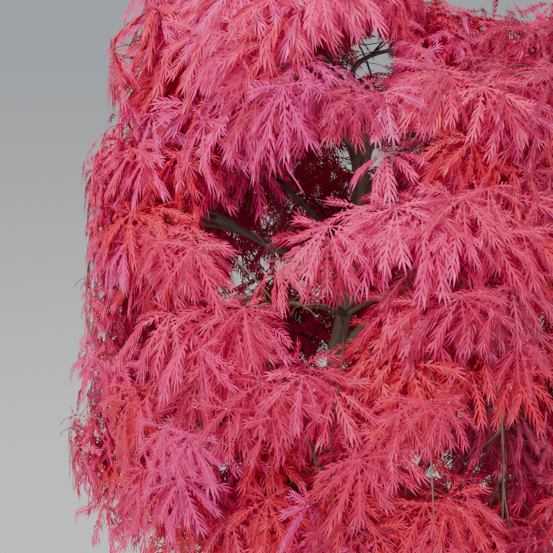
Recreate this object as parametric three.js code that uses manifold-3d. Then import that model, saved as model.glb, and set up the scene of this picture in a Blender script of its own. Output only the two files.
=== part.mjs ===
// A weeping cut-leaf Japanese maple in a plain round clay pot.
//
// Frame: millimetres, +Z up, the origin at the centre of the pot's flat underside.
// The front of the plant faces -Y. Azimuths are in degrees, 0 at the front and 90 at +X.
//
// The plant is an assembly: the pot, its soil, one slender trunk, boughs that fork once on
// their way out, and masses of foliage that hang as a shell of tiers round the open
// space under the crown. Solids that would meet keep a small gap between them.

import * as THREE from "three";
import { mergeVertices } from "three/addons/utils/BufferGeometryUtils.js";
import Module from "manifold-3d";

const wasm = await Module();
wasm.setup();

// ---------------------------------------------------------------- driving dimensions
const POT = {
  height: 300,
  footRadius: 122,
  mouthRadius: 156, // outside, just under the rim band
  rimHeight: 40,
  rimOverhang: 10,
  rimRound: 5,
  wall: 13,
  floor: 16,
  headspace: 30, // from the soil up to the lip
  segments: 22,
};
const TRUNK = {
  height: 555, // from the soil to the fork
  lean: new THREE.Vector2(22, 14), // how far the fork stands from the foot
  bow: new THREE.Vector2(-15, 9), // sideways swing of its shallow S
  bowFade: 0.35, // share of the swing lost by the fork
  footRadius: 13,
  forkRadius: 5.5,
  flare: 0.85, // share added to the radius at the soil
  flareFall: 26, // height over which the flare fades
  roots: 5,
  rootShare: 0.35, // how far the flare swells over each main root
  ringSpacing: 1.5, // above 1, rings lie closer together at the foot
  sides: 10,
  steps: 8,
};
const BOUGH = { sides: 5, steps: 3, rootRadius: 5.2, forkRadius: 3.9, armRadius: 3.3, tipRadius: 2.4 };
const MASS_DETAIL = 1;
const MASS_ROUNDING = 1.03; // makes up for the flats of a mass lying inside its round shape
const MASS_LUMPS = 0.15; // unevenness of a mass, as a share of its size
const MASS_FLARE = 0.2; // how much wider a mass is at its top than at its middle
const INNER_DROOP = 0.35; // the droop of a mass's inner side, as a share of its outer side's
const GAP = 0.4; // left between solids that meet

// Each tier is a ring of masses, or a single one. reach is from the plant's axis to a mass's centre;
// depth, width and rise are half of its size outwards, sideways and up; droop is how far its outer side
// hangs down, shift moves the whole ring along X, and stagger puts every other mass higher or lower.
const TIERS = [
  {
    name: "top", count: 1, turn: -90, shift: 0, stagger: 0,
    height: 972, reach: 52, depth: 84, width: 92, rise: 58, droop: 24,
  },
  {
    name: "crest", count: 3, turn: -40, shift: -86, stagger: 0,
    height: 930, reach: 70, depth: 78, width: 96, rise: 68, droop: 38,
  },
  {
    name: "shoulder", count: 1, turn: 104, shift: 0, stagger: 0,
    height: 870, reach: 84, depth: 96, width: 108, rise: 54, droop: 30,
  },
  {
    name: "upper", count: 7, turn: -25, shift: 26, stagger: -20,
    height: 838, reach: 198, depth: 86, width: 102, rise: 96, droop: 62,
  },
  {
    name: "middle", count: 8, turn: -21, shift: 0, stagger: 27,
    height: 650, reach: 246, depth: 76, width: 103, rise: 112, droop: 56,
  },
  {
    name: "skirt", count: 9, turn: -41, shift: 0, stagger: 18,
    height: 432, reach: 244, depth: 70, width: 92, rise: 132, droop: 50,
  },
];
// The crown stands a little off the trunk's foot, is higher on its left, and reaches further to the right.
const CROWN = { centre: new THREE.Vector2(10, -2), tilt: -0.12, stretch: 0.05 };
// How much the masses of a tier vary: size as a share, azimuth in degrees, height and reach in mm.
const VARIETY = { size: 0.11, azimuth: 5, height: 12, reach: 10 };
// How far down the trunk the boughs of each tier start, and how high they arch.
const BOUGH_START = { top: 0.997, crest: 0.965, shoulder: 0.93, upper: 0.7, middle: 0.36 };
const BOUGH_START_STEP = 0.055;
const BOUGH_ARCH = { top: 0, crest: 12, shoulder: 10, upper: 46, middle: 58 };
const FORK_AT = 0.52; // share of the way out where a pair of boughs parts

// ---------------------------------------------------------------- colours and finishes
const FINISH = {
  clay: new THREE.MeshStandardMaterial({ color: 0xa9603f, roughness: 0.85, metalness: 0 }),
  soil: new THREE.MeshStandardMaterial({ color: 0x3a2a20, roughness: 0.95, metalness: 0 }),
  bark: new THREE.MeshStandardMaterial({ color: 0x6b6147, roughness: 0.8, metalness: 0 }),
  leaf: new THREE.MeshStandardMaterial({ color: 0xc92a4c, roughness: 0.55, metalness: 0 }),
};

// ---------------------------------------------------------------- small helpers
const UP = new THREE.Vector3(0, 0, 1);
const radians = THREE.MathUtils.degToRad;
const lerp = THREE.MathUtils.lerp;

// A repeatable number from -1 to 1 for a whole-number seed.
function vary(seed) {
  return 2 * (Math.abs(Math.sin(seed * 12.9898 + 4.1414) * 43758.5453) % 1) - 1;
}

// The level direction at an azimuth: 0 is the front, -Y, and 90 is +X.
function outwards(azimuth) {
  return new THREE.Vector3(Math.sin(radians(azimuth)), -Math.cos(radians(azimuth)), 0);
}

// Moves every vertex of a closed geometry to place(x, y, z), which returns a Vector3.
function reshape(geometry, place) {
  const position = geometry.attributes.position;
  for (let i = 0; i < position.count; i++) {
    const p = place(position.getX(i), position.getY(i), position.getZ(i));
    position.setXYZ(i, p.x, p.y, p.z);
  }
  return geometry;
}

// A closed three.js geometry as a solid that can be cut.
function solidFrom(geometry) {
  geometry.deleteAttribute("normal");
  geometry.deleteAttribute("uv");
  const merged = mergeVertices(geometry, 1e-3);
  return new wasm.Manifold(
    new wasm.Mesh({
      numProp: 3,
      vertProperties: merged.attributes.position.array,
      triVerts: new Uint32Array(merged.index.array),
    }),
  );
}

// A solid back as a three.js geometry.
function geometryFrom(solid) {
  const { vertProperties, triVerts } = solid.getMesh();
  const geometry = new THREE.BufferGeometry();
  geometry.setAttribute("position", new THREE.BufferAttribute(Float32Array.from(vertProperties), 3));
  geometry.setIndex(new THREE.BufferAttribute(Uint32Array.from(triVerts), 1));
  geometry.computeVertexNormals();
  return geometry;
}

// ---------------------------------------------------------------- pot and soil
const soilTop = POT.height - POT.headspace;
const rimFoot = POT.height - POT.rimHeight;

// Outside radius of the pot's tapering wall at height z.
function potRadius(z) {
  return lerp(POT.footRadius, POT.mouthRadius, z / rimFoot);
}

// A round solid with this outline of [radius, height], turned about the Z axis.
function turned(outline) {
  const points = outline.map(([radius, z]) => new THREE.Vector2(radius, z));
  return solidFrom(new THREE.LatheGeometry(points, POT.segments).rotateX(Math.PI / 2));
}

function potSolid() {
  const rimRadius = POT.mouthRadius + POT.rimOverhang;
  const inner = POT.mouthRadius - POT.wall;
  return turned([
    [0, 0],
    [POT.footRadius - POT.rimRound, 0],
    [POT.footRadius, POT.rimRound],
    [potRadius(rimFoot), rimFoot],
    [rimRadius - POT.rimRound, rimFoot],
    [rimRadius, rimFoot + POT.rimRound],
    [rimRadius, POT.height - POT.rimRound],
    [rimRadius - POT.rimRound, POT.height],
    [inner + POT.rimRound, POT.height],
    [inner, POT.height - POT.rimRound],
    [inner, rimFoot],
    [potRadius(POT.floor) - POT.wall, POT.floor],
    [0, POT.floor],
  ]);
}

function soilSolid() {
  const inner = POT.mouthRadius - POT.wall - GAP;
  return turned([
    [0, POT.floor + GAP],
    [potRadius(POT.floor) - POT.wall - 2 * GAP, POT.floor + GAP],
    [inner, rimFoot - GAP],
    [inner, soilTop],
    [0, soilTop],
  ]);
}

// ---------------------------------------------------------------- trunk
// The trunk's centre at share t of its height: a lean and a shallow S.
function trunkPoint(t) {
  const swing = Math.sin(2 * Math.PI * t) * (1 - TRUNK.bowFade * t);
  return new THREE.Vector3(
    TRUNK.lean.x * t + TRUNK.bow.x * swing,
    TRUNK.lean.y * t + TRUNK.bow.y * swing,
    soilTop + GAP + TRUNK.height * t,
  );
}

// A tapering upright stem with level rings, and an uneven flare over its main roots at the foot.
function trunkSolid(extra = 0) {
  const base = new THREE.CylinderGeometry(1, 1, 1, TRUNK.sides, TRUNK.steps);
  return solidFrom(
    reshape(base, (x, y, z) => {
      const t = (y + 0.5) ** TRUNK.ringSpacing;
      const roots = 1 + TRUNK.rootShare * Math.cos(TRUNK.roots * Math.atan2(x, z));
      const flare = TRUNK.flare * roots * Math.exp((-t * TRUNK.height) / TRUNK.flareFall);
      const radius = lerp(TRUNK.footRadius, TRUNK.forkRadius, t) * (1 + flare) + extra;
      return trunkPoint(t).add(new THREE.Vector3(x * radius, -z * radius, 0));
    }),
  );
}

// ---------------------------------------------------------------- boughs
// One tapering limb along a curve. The cylinder's rings are set square to the curve.
function boughSolid(curve, startRadius, endRadius, extra = 0) {
  const frames = curve.computeFrenetFrames(BOUGH.steps, false);
  const base = new THREE.CylinderGeometry(1, 1, 1, BOUGH.sides, BOUGH.steps);
  return solidFrom(
    reshape(base, (x, y, z) => {
      const t = y + 0.5;
      const ring = Math.round(t * BOUGH.steps);
      const radius = lerp(startRadius, endRadius, t) + extra;
      return curve
        .getPointAt(t)
        .addScaledVector(frames.normals[ring], x * radius)
        .addScaledVector(frames.binormals[ring], -z * radius);
    }),
  );
}

// A curve from one point to another that rises by arch on its way.
function arched(from, to, arch) {
  const middle = from.clone().lerp(to, 0.5).addScaledVector(UP, arch);
  return new THREE.QuadraticBezierCurve3(from, middle, to);
}

// ---------------------------------------------------------------- masses of foliage
// The masses of one tier, each with its centre, its half sizes and its own seed.
function massesOf(tier, tierIndex) {
  return Array.from({ length: tier.count }, (_, i) => {
    const seed = 17 * (tierIndex + 1) + 5 * i;
    const azimuth = tier.turn + (360 * i) / tier.count + VARIETY.azimuth * vary(seed);
    const out = outwards(azimuth);
    const reach = (tier.reach + VARIETY.reach * vary(seed + 1)) * (1 + CROWN.stretch * out.x);
    const centre = new THREE.Vector3(CROWN.centre.x + tier.shift, CROWN.centre.y, 0);
    centre.addScaledVector(out, reach);
    const step = i % 2 ? tier.stagger : -tier.stagger;
    centre.z = tier.height + step + VARIETY.height * vary(seed + 2) + CROWN.tilt * centre.x;
    const sized = (size, n) => size * (1 + VARIETY.size * vary(seed + n));
    return {
      name: `foliage_${tier.name}_${i + 1}`,
      seed,
      centre,
      out,
      depth: sized(tier.depth, 3),
      width: sized(tier.width, 4),
      rise: sized(tier.rise, 5),
      droop: tier.droop,
    };
  });
}

// Waves over a mass's surface, from about -1 to 1, at a direction from its centre.
function lump(seed, x, y, z) {
  const [a, b, c] = [1, 2, 3].map((n) => Math.PI * vary(seed + 10 * n));
  return 0.6 * Math.sin(3.2 * y + a) * Math.cos(2.6 * z + b) + 0.4 * Math.sin(4.4 * z + 3.4 * x + c);
}

// A lumpy round body, wider above than below, whose outer side hangs down.
function massSolid(mass, extra = 0) {
  const sideways = new THREE.Vector3().crossVectors(UP, mass.out);
  return solidFrom(
    reshape(new THREE.DodecahedronGeometry(MASS_ROUNDING, MASS_DETAIL), (x, y, z) => {
      const swell = 1 + MASS_LUMPS * lump(mass.seed, x, y, z);
      const flared = 1 + MASS_FLARE * z;
      const p = mass.centre
        .clone()
        .addScaledVector(mass.out, x * (mass.depth * flared * swell + extra))
        .addScaledVector(sideways, y * (mass.width * flared * swell + extra))
        .addScaledVector(UP, z * (mass.rise * swell + extra));
      p.z -= mass.droop * (x > 0 ? 1 : INNER_DROOP) * x * x;
      return p;
    }),
  );
}

// ---------------------------------------------------------------- assembly
const plant = new THREE.Group();
plant.name = "potted_weeping_maple";
const placed = [];

// True if the boxes round two solids meet.
function near(a, b) {
  const [p, q] = [a.boundingBox(), b.boundingBox()];
  return [0, 1, 2].every((k) => p.min[k] <= q.max[k] && q.min[k] <= p.max[k]);
}

// The body of a cut solid that has a vertex nearest to a point.
function bodyNearest(solid, point) {
  const distance = (body) => {
    const { vertProperties } = body.getMesh();
    let least = Infinity;
    for (let i = 0; i < vertProperties.length; i += 3)
      least = Math.min(least, point.distanceTo(new THREE.Vector3().fromArray(vertProperties, i)));
    return least;
  };
  return solid.decompose().sort((a, b) => distance(a) - distance(b))[0];
}

// Adds a piece, cut back by the gap from the pieces that were added before it. make(extra) gives its
// solid, larger all round by extra; keepAt is a point on the part of it that stays.
function add(name, finish, make, keepAt) {
  let solid = make(0);
  for (const cutter of placed) if (near(solid, cutter)) solid = solid.subtract(cutter);
  if (keepAt) solid = bodyNearest(solid, keepAt);
  placed.push(make(GAP));
  const mesh = new THREE.Mesh(geometryFrom(solid), finish);
  mesh.name = name;
  plant.add(mesh);
}

function addWhole(name, finish, solid) {
  placed.push(solid);
  const mesh = new THREE.Mesh(geometryFrom(solid), finish);
  mesh.name = name;
  plant.add(mesh);
}

addWhole("pot", FINISH.clay, potSolid());
addWhole("soil", FINISH.soil, soilSolid());
add("trunk", FINISH.bark, trunkSolid, trunkPoint(0));

const tiers = TIERS.map((tier, i) => ({ ...tier, masses: massesOf(tier, i) }));
for (const tier of tiers)
  for (const mass of tier.masses)
    add(mass.name, FINISH.leaf, (extra) => massSolid(mass, extra), mass.centre);

// Adds one limb from a point on its parent to a point inside what it feeds.
function addBough(name, from, to, arch, startRadius, endRadius) {
  const curve = arched(from, to, arch);
  add(name, FINISH.bark, (extra) => boughSolid(curve, startRadius, endRadius, extra), from);
  return curve;
}

// Neighbouring masses share a bough that forks; those at the top of the crown and an odd one have
// their own.
for (const tier of tiers.filter((t) => t.name in BOUGH_START)) {
  const { masses } = tier;
  const share = masses.length < 4 ? 1 : 2;
  for (let i = 0; i < masses.length; i += share) {
    const fed = masses.slice(i, i + share);
    const start = trunkPoint(BOUGH_START[tier.name] + (share > 1 ? (i / share) * BOUGH_START_STEP : 0));
    const name = `bough_${tier.name}_${i / share + 1}`;
    const arch = BOUGH_ARCH[tier.name];
    if (fed.length === 1) {
      addBough(name, start, fed[0].centre, arch, BOUGH.rootRadius, BOUGH.tipRadius);
      continue;
    }
    const middle = fed[0].centre.clone().lerp(fed[1].centre, 0.5);
    const fork = start.clone().lerp(middle, FORK_AT);
    fork.z += arch / 2;
    addBough(name, start, fork, arch / 2, BOUGH.rootRadius, BOUGH.forkRadius);
    fed.forEach((mass, k) =>
      addBough(`${name}_${"ab"[k]}`, fork, mass.centre, arch / 3, BOUGH.armRadius, BOUGH.tipRadius),
    );
  }
}

export default plant;
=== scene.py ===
import math

import bpy
import numpy as np
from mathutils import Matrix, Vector


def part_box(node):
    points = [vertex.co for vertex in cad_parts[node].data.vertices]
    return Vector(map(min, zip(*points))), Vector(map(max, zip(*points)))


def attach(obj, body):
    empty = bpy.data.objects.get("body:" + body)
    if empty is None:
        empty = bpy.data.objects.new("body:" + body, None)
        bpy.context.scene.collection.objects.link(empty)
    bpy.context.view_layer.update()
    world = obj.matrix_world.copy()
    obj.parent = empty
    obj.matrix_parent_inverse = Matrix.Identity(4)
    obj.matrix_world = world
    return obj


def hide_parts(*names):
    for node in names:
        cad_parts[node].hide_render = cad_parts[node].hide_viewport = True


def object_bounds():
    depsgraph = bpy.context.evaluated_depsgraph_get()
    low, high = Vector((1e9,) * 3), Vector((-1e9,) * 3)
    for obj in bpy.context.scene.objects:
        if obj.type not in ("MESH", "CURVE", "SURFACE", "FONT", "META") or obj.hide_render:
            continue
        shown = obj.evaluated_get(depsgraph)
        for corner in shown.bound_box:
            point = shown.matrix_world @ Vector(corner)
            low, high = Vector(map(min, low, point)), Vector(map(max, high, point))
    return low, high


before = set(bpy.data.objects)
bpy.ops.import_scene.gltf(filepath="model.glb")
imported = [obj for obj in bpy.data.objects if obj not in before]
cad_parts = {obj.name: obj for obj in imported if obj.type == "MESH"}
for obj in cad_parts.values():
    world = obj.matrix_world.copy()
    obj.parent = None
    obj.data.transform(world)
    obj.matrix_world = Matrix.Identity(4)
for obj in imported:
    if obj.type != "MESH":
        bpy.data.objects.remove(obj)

cad_low, cad_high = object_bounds()

# ---------------------------------------------------------------- the pot
# A plain round pot of fired earthenware, turned on a wheel: a flat foot, a wall that opens
# upwards, a thick rim band with rounded edges. It stands on the ground by its own weight.


def cad_points(name):
    """The corner points of a CAD node's mesh, one row each, in metres."""
    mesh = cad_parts[name].data
    flat = np.empty(len(mesh.vertices) * 3)
    mesh.vertices.foreach_get("co", flat)
    return flat.reshape(-1, 3)


def new_piece(name, slot, points, faces, materials, pick=None, smooth=True, stands_for=(), grain=None):
    """A mesh object of triangles, riding on the plant. pick is the material number of each
    face, and grain an optional coordinate per point that the material may read."""
    mesh = bpy.data.meshes.new(name)
    mesh.vertices.add(len(points))
    mesh.vertices.foreach_set("co", np.ravel(points))
    mesh.loops.add(faces.size)
    mesh.loops.foreach_set("vertex_index", np.ravel(faces).astype(np.int32))
    mesh.polygons.add(len(faces))
    mesh.polygons.foreach_set("loop_start", np.arange(len(faces), dtype=np.int32) * 3)
    mesh.polygons.foreach_set("use_smooth", np.full(len(faces), smooth))
    for material in materials:
        mesh.materials.append(material)
    if pick is not None:
        mesh.polygons.foreach_set("material_index", pick.astype(np.int32))
    if grain is not None:
        mesh.attributes.new("grain", "FLOAT_VECTOR", "POINT").data.foreach_set("vector", np.ravel(grain))
    mesh.update(calc_edges=True)
    made = bpy.data.objects.new(name, mesh)
    bpy.context.scene.collection.objects.link(made)
    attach(made, "root")
    if stands_for:
        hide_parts(*stands_for)
    return made


def ring_faces(index):
    """Triangles between neighbouring rows of a grid of point numbers whose last column joins
    its first. Those that a pole shrinks to a line are left out."""
    low = index[..., :-1, :]
    high = index[..., 1:, :]
    low_next = np.roll(low, -1, axis=-1)
    high_next = np.roll(high, -1, axis=-1)
    first = np.stack([low, low_next, high_next], -1).reshape(-1, 3)
    second = np.stack([low, high_next, high], -1).reshape(-1, 3)
    faces = np.concatenate([first, second])
    flat = (faces[:, 0] == faces[:, 1]) | (faces[:, 1] == faces[:, 2]) | (faces[:, 2] == faces[:, 0])
    return faces[~flat]


def turned(profile, segments):
    """A solid of revolution: each (radius, height) of the profile becomes a ring round the Z
    axis, and a radius of zero a single point."""
    profile = np.array(profile)
    angle = np.linspace(0, 2 * math.pi, segments, endpoint=False)
    rings = np.stack([
        profile[:, :1] * np.cos(angle),
        profile[:, :1] * np.sin(angle),
        np.repeat(profile[:, 1:], segments, axis=1),
    ], -1)
    index = np.arange(len(profile) * segments).reshape(len(profile), segments)
    pole = profile[:, 0] < 1e-9
    index[pole] = index[pole, :1]
    used, faces = np.unique(ring_faces(index), return_inverse=True)
    return rings.reshape(-1, 3)[used], faces.reshape(-1, 3)


def rounded(corner, size, start, end, steps=6):
    """Points of a quarter-like arc round a corner of a profile, from angle start to end."""
    angle = np.radians(np.linspace(start, end, steps))
    return [(corner[0] + size * math.cos(a), corner[1] + size * math.sin(a)) for a in angle]


def plain(name, colour, roughness, **more):
    """A material of one Principled shader with plain values."""
    made = bpy.data.materials.new(name)
    made.use_nodes = True
    shader = made.node_tree.nodes["Principled BSDF"]
    shader.inputs["Base Color"].default_value = (*colour, 1)
    shader.inputs["Roughness"].default_value = roughness
    for socket, value in more.items():
        shader.inputs[socket.replace("_", " ")].default_value = value
    return made


def add_node(made, kind, inputs, **settings):
    """A shader node in a material. inputs gives plain values or other nodes' outputs."""
    node = made.node_tree.nodes.new(kind)
    for setting, value in settings.items():
        setattr(node, setting, value)
    for socket, value in inputs.items():
        if isinstance(value, bpy.types.NodeSocket):
            made.node_tree.links.new(value, node.inputs[socket])
        else:
            node.inputs[socket].default_value = value
    return node


def ramp(made, source, stops):
    """A colour ramp from a value, with stops of (place, colour)."""
    node = add_node(made, "ShaderNodeValToRGB", {"Fac": source})
    while len(node.color_ramp.elements) < len(stops):
        node.color_ramp.elements.new(1.0)
    for element, (place, colour) in zip(node.color_ramp.elements, stops):
        element.position = place
        element.color = (*colour, 1)
    return node.outputs["Color"]


def feed(made, socket, output):
    """Joins a node's output to a socket of the material's Principled shader."""
    shader = made.node_tree.nodes["Principled BSDF"]
    made.node_tree.links.new(output, shader.inputs[socket])


# Fired clay: warm orange-brown with darker fire clouds, a little pale lime bloom, fine grit,
# and the faint rings that the turning leaves.
clay = plain("fired clay", (0.40, 0.15, 0.075), 0.86)
where = add_node(clay, "ShaderNodeTexCoord", {}).outputs["Object"]
clouds = add_node(clay, "ShaderNodeTexNoise", {
    "Vector": where, "Scale": 7.0, "Detail": 5.0, "Roughness": 0.6})
tone = ramp(clay, clouds.outputs["Fac"], [
    (0.30, (0.29, 0.105, 0.052)),
    (0.52, (0.41, 0.155, 0.078)),
    (0.75, (0.50, 0.215, 0.120)),
])
bloom = add_node(clay, "ShaderNodeTexNoise", {
    "Vector": where, "Scale": 16.0, "Detail": 8.0, "Roughness": 0.72})
bloom_share = add_node(clay, "ShaderNodeMapRange", {
    "Value": bloom.outputs["Fac"], "From Min": 0.54, "From Max": 0.78, "To Min": 0.0, "To Max": 0.38})
tinted = add_node(clay, "ShaderNodeMix", {
    "Factor": bloom_share.outputs["Result"], 6: tone, 7: (0.55, 0.47, 0.40, 1)}, data_type="RGBA")
feed(clay, "Base Color", tinted.outputs[2])
grit = add_node(clay, "ShaderNodeTexNoise", {"Vector": where, "Scale": 520.0, "Detail": 3.0})
rings = add_node(clay, "ShaderNodeTexWave", {
    "Vector": where, "Scale": 38.0, "Distortion": 1.4, "Detail": 2.0, "Detail Scale": 0.6},
    bands_direction="Z")
grit_bump = add_node(clay, "ShaderNodeBump", {
    "Height": grit.outputs["Fac"], "Strength": 0.35, "Distance": 0.0006})
ring_bump = add_node(clay, "ShaderNodeBump", {
    "Height": rings.outputs["Fac"], "Strength": 0.35, "Distance": 0.0009,
    "Normal": grit_bump.outputs["Normal"]})
feed(clay, "Normal", ring_bump.outputs["Normal"])
rough = add_node(clay, "ShaderNodeMapRange", {
    "Value": bloom.outputs["Fac"], "From Min": 0.3, "From Max": 0.7, "To Min": 0.74, "To Max": 0.95})
feed(clay, "Roughness", rough.outputs["Result"])

pot_points = cad_points("pot")
soil_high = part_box("soil")[1]
pot_radii = np.hypot(pot_points[:, 0], pot_points[:, 1])
pot_top = pot_points[:, 2].max()
rim_radius = pot_radii.max()
foot_radius = pot_radii[pot_points[:, 2] < 0.001].max()
lip_inner = soil_high[0] + 0.002  # the radius inside, at the soil
rim_height = 0.040
rim_step = 0.010  # how far the rim band stands out from the wall
rim_edge = 0.006  # rounding under the rim band
edge = 0.005  # rounding of the foot and the lip
wall = 0.013
foot_hollow = 0.004  # how far the middle of the underside is cut back inside the foot's ring
foot_ring = 0.024
under_soil = 0.012  # how far below the soil's face the inside is closed, out of sight
under_rim = rim_radius - rim_step
mouth_radius = under_rim - wall
wall_shares = np.linspace(0.06, 0.96, 12)
pot_profile = [
    (0, foot_hollow),
    (foot_radius - foot_ring - foot_hollow, foot_hollow),
    (foot_radius - foot_ring, 0.0)]
pot_profile += rounded((foot_radius - edge, edge), edge, -90, -8)
pot_profile += [(foot_radius + (under_rim - foot_radius) * k, (pot_top - rim_height) * k)
                for k in wall_shares]
pot_profile += [(under_rim, pot_top - rim_height - 0.002)]
pot_profile += rounded((rim_radius - rim_edge, pot_top - rim_height + 0.003), rim_edge, -80, 0)
pot_profile += rounded((rim_radius - edge, pot_top - edge), edge, 0, 90)
pot_profile += rounded((mouth_radius + edge, pot_top - edge), edge, 90, 180)
pot_profile += [
    (mouth_radius, pot_top - 0.02),
    (lip_inner, soil_high[2] - under_soil),
    (0, soil_high[2] - under_soil)]
pot_shape, pot_faces = turned(pot_profile, 128)
turn = np.arctan2(pot_shape[:, 1], pot_shape[:, 0])
out_of_round = 1 + 0.0022 * np.sin(2 * turn + 0.7) + 0.0010 * np.sin(5 * turn + pot_shape[:, 2] * 20)
pot_shape[:, :2] *= out_of_round[:, None]
new_piece("clay_pot", "clay", pot_shape, pot_faces, [clay], stands_for=["pot"])

# ---------------------------------------------------------------- the soil
# Loam compost, level but crumbly, filling the pot to two fingers' width below the lip. Crumbs
# and flakes of bark lie loose on it.


def ripple(places, count, shortest, longest, rng):
    """A rolling height for each place: the sum of sine waves that run in seeded directions,
    longer waves higher. It stays within about one unit of zero."""
    length = np.geomspace(longest, shortest, count)
    direction = rng.normal(size=(places.shape[-1], count))
    direction /= np.linalg.norm(direction, axis=0)
    phase = places @ (direction * (2 * math.pi / length)) + rng.uniform(0, 2 * math.pi, count)
    weight = np.sqrt(length)
    return (np.sin(phase) * weight).sum(axis=-1) / np.sqrt((weight ** 2).sum())


rng = np.random.default_rng(41)
loam = plain("moist loam", (0.035, 0.022, 0.014), 0.95)
where = add_node(loam, "ShaderNodeTexCoord", {}).outputs["Object"]
specks = add_node(loam, "ShaderNodeTexNoise", {
    "Vector": where, "Scale": 150.0, "Detail": 6.0, "Roughness": 0.7})
feed(loam, "Base Color", ramp(loam, specks.outputs["Fac"], [
    (0.36, (0.012, 0.008, 0.006)),
    (0.55, (0.040, 0.025, 0.016)),
    (0.74, (0.105, 0.070, 0.045)),
]))
lumps = add_node(loam, "ShaderNodeTexNoise", {"Vector": where, "Scale": 300.0, "Detail": 5.0})
feed(loam, "Normal", add_node(loam, "ShaderNodeBump", {
    "Height": lumps.outputs["Fac"], "Strength": 0.8, "Distance": 0.002}).outputs["Normal"])

soil_radius = soil_high[0]
soil_depth = 0.01  # of the bed that is made; the rest is hidden
soil_waves = 0.0026  # how far the face rolls up and down
soil_profile = [(r, soil_high[2]) for r in np.linspace(0, soil_radius, 60)]
soil_profile += [(soil_radius, soil_high[2] - soil_depth), (0, soil_high[2] - soil_depth)]
soil_shape, soil_faces = turned(soil_profile[::-1], 160)
on_top = soil_shape[:, 2] > soil_high[2] - 0.001
inside = np.clip((soil_radius - np.hypot(soil_shape[:, 0], soil_shape[:, 1])) / 0.02, 0.15, 1)
rolling = soil_waves * ripple(soil_shape[:, :2], 40, 0.007, 0.09, rng) * inside - 0.001
soil_shape[on_top, 2] += rolling[on_top]
new_piece("soil_bed", "soil", soil_shape, soil_faces, [loam], stands_for=["soil"])

crumb_count = 1500
octahedron = np.array([[1, 0, 0], [-1, 0, 0], [0, 1, 0], [0, -1, 0], [0, 0, 1], [0, 0, -1]], float)
octahedron_faces = np.array([
    [0, 2, 4], [2, 1, 4], [1, 3, 4], [3, 0, 4], [2, 0, 5], [1, 2, 5], [3, 1, 5], [0, 3, 5]])
crumb = octahedron * (1 + rng.uniform(-0.35, 0.35, (crumb_count, 6, 1)))
flake = rng.random(crumb_count) < 0.3
crumb *= np.where(flake[:, None, None], [1.7, 0.9, 0.28], [1.0, 0.8, 0.65])
crumb *= rng.uniform(0.0012, 0.0042, (crumb_count, 1, 1)) * np.where(flake, 1.3, 1.0)[:, None, None]
spin = rng.uniform(0, 2 * math.pi, crumb_count)
tilt = rng.uniform(-0.35, 0.35, crumb_count)
spun = np.stack([
    crumb[..., 0] * np.cos(spin)[:, None] - crumb[..., 1] * np.sin(spin)[:, None],
    crumb[..., 0] * np.sin(spin)[:, None] + crumb[..., 1] * np.cos(spin)[:, None],
    crumb[..., 2] + crumb[..., 0] * tilt[:, None]], -1)
crumb_reach = np.sqrt(rng.uniform(0.0, 1.0, crumb_count)) * (soil_radius - 0.006)
crumb_turn = rng.uniform(0, 2 * math.pi, crumb_count)
spun += np.stack([
    crumb_reach * np.cos(crumb_turn),
    crumb_reach * np.sin(crumb_turn),
    np.full(crumb_count, soil_high[2] + 0.001)], -1)[:, None]
crumb_faces = octahedron_faces + np.arange(crumb_count)[:, None, None] * 6
crumb_tones = [
    plain("dark crumb", (0.022, 0.014, 0.009), 0.95),
    plain("brown crumb", (0.060, 0.036, 0.021), 0.92),
    plain("bark flake", (0.125, 0.078, 0.046), 0.85),
]
crumb_pick = np.where(flake, 2, rng.integers(0, 2, crumb_count)).repeat(len(octahedron_faces))
new_piece("soil_crumbs", "soil", spun.reshape(-1, 3), crumb_faces.reshape(-1, 3), crumb_tones,
          crumb_pick, smooth=False)

# ---------------------------------------------------------------- trunk and boughs
# One slender stem with a root flare, and boughs that arch out from it, of which the lower ones
# mostly fork. The bark is thin and nearly smooth, with fine streaks along it, pores and the
# rings of old bud scars.


def curve(line, count, passes=2):
    """A smooth line of evenly spaced points through a polyline: its corners are cut a few
    times, then it is measured out by length."""
    line = np.asarray(line, float)
    for _ in range(passes):
        near = 0.75 * line[:-1] + 0.25 * line[1:]
        far = 0.25 * line[:-1] + 0.75 * line[1:]
        line = np.concatenate([line[:1], np.stack([near, far], 1).reshape(-1, line.shape[1]), line[-1:]])
    gone = np.concatenate([[0], np.cumsum(np.linalg.norm(np.diff(line[:, :3], axis=0), axis=1))])
    stops = np.linspace(0, gone[-1], count)
    return np.stack([np.interp(stops, gone, line[:, k]) for k in range(line.shape[1])], -1)


def unit(vectors):
    """Vectors brought to length one."""
    return vectors / np.maximum(np.linalg.norm(vectors, axis=-1, keepdims=True), 1e-9)


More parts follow.
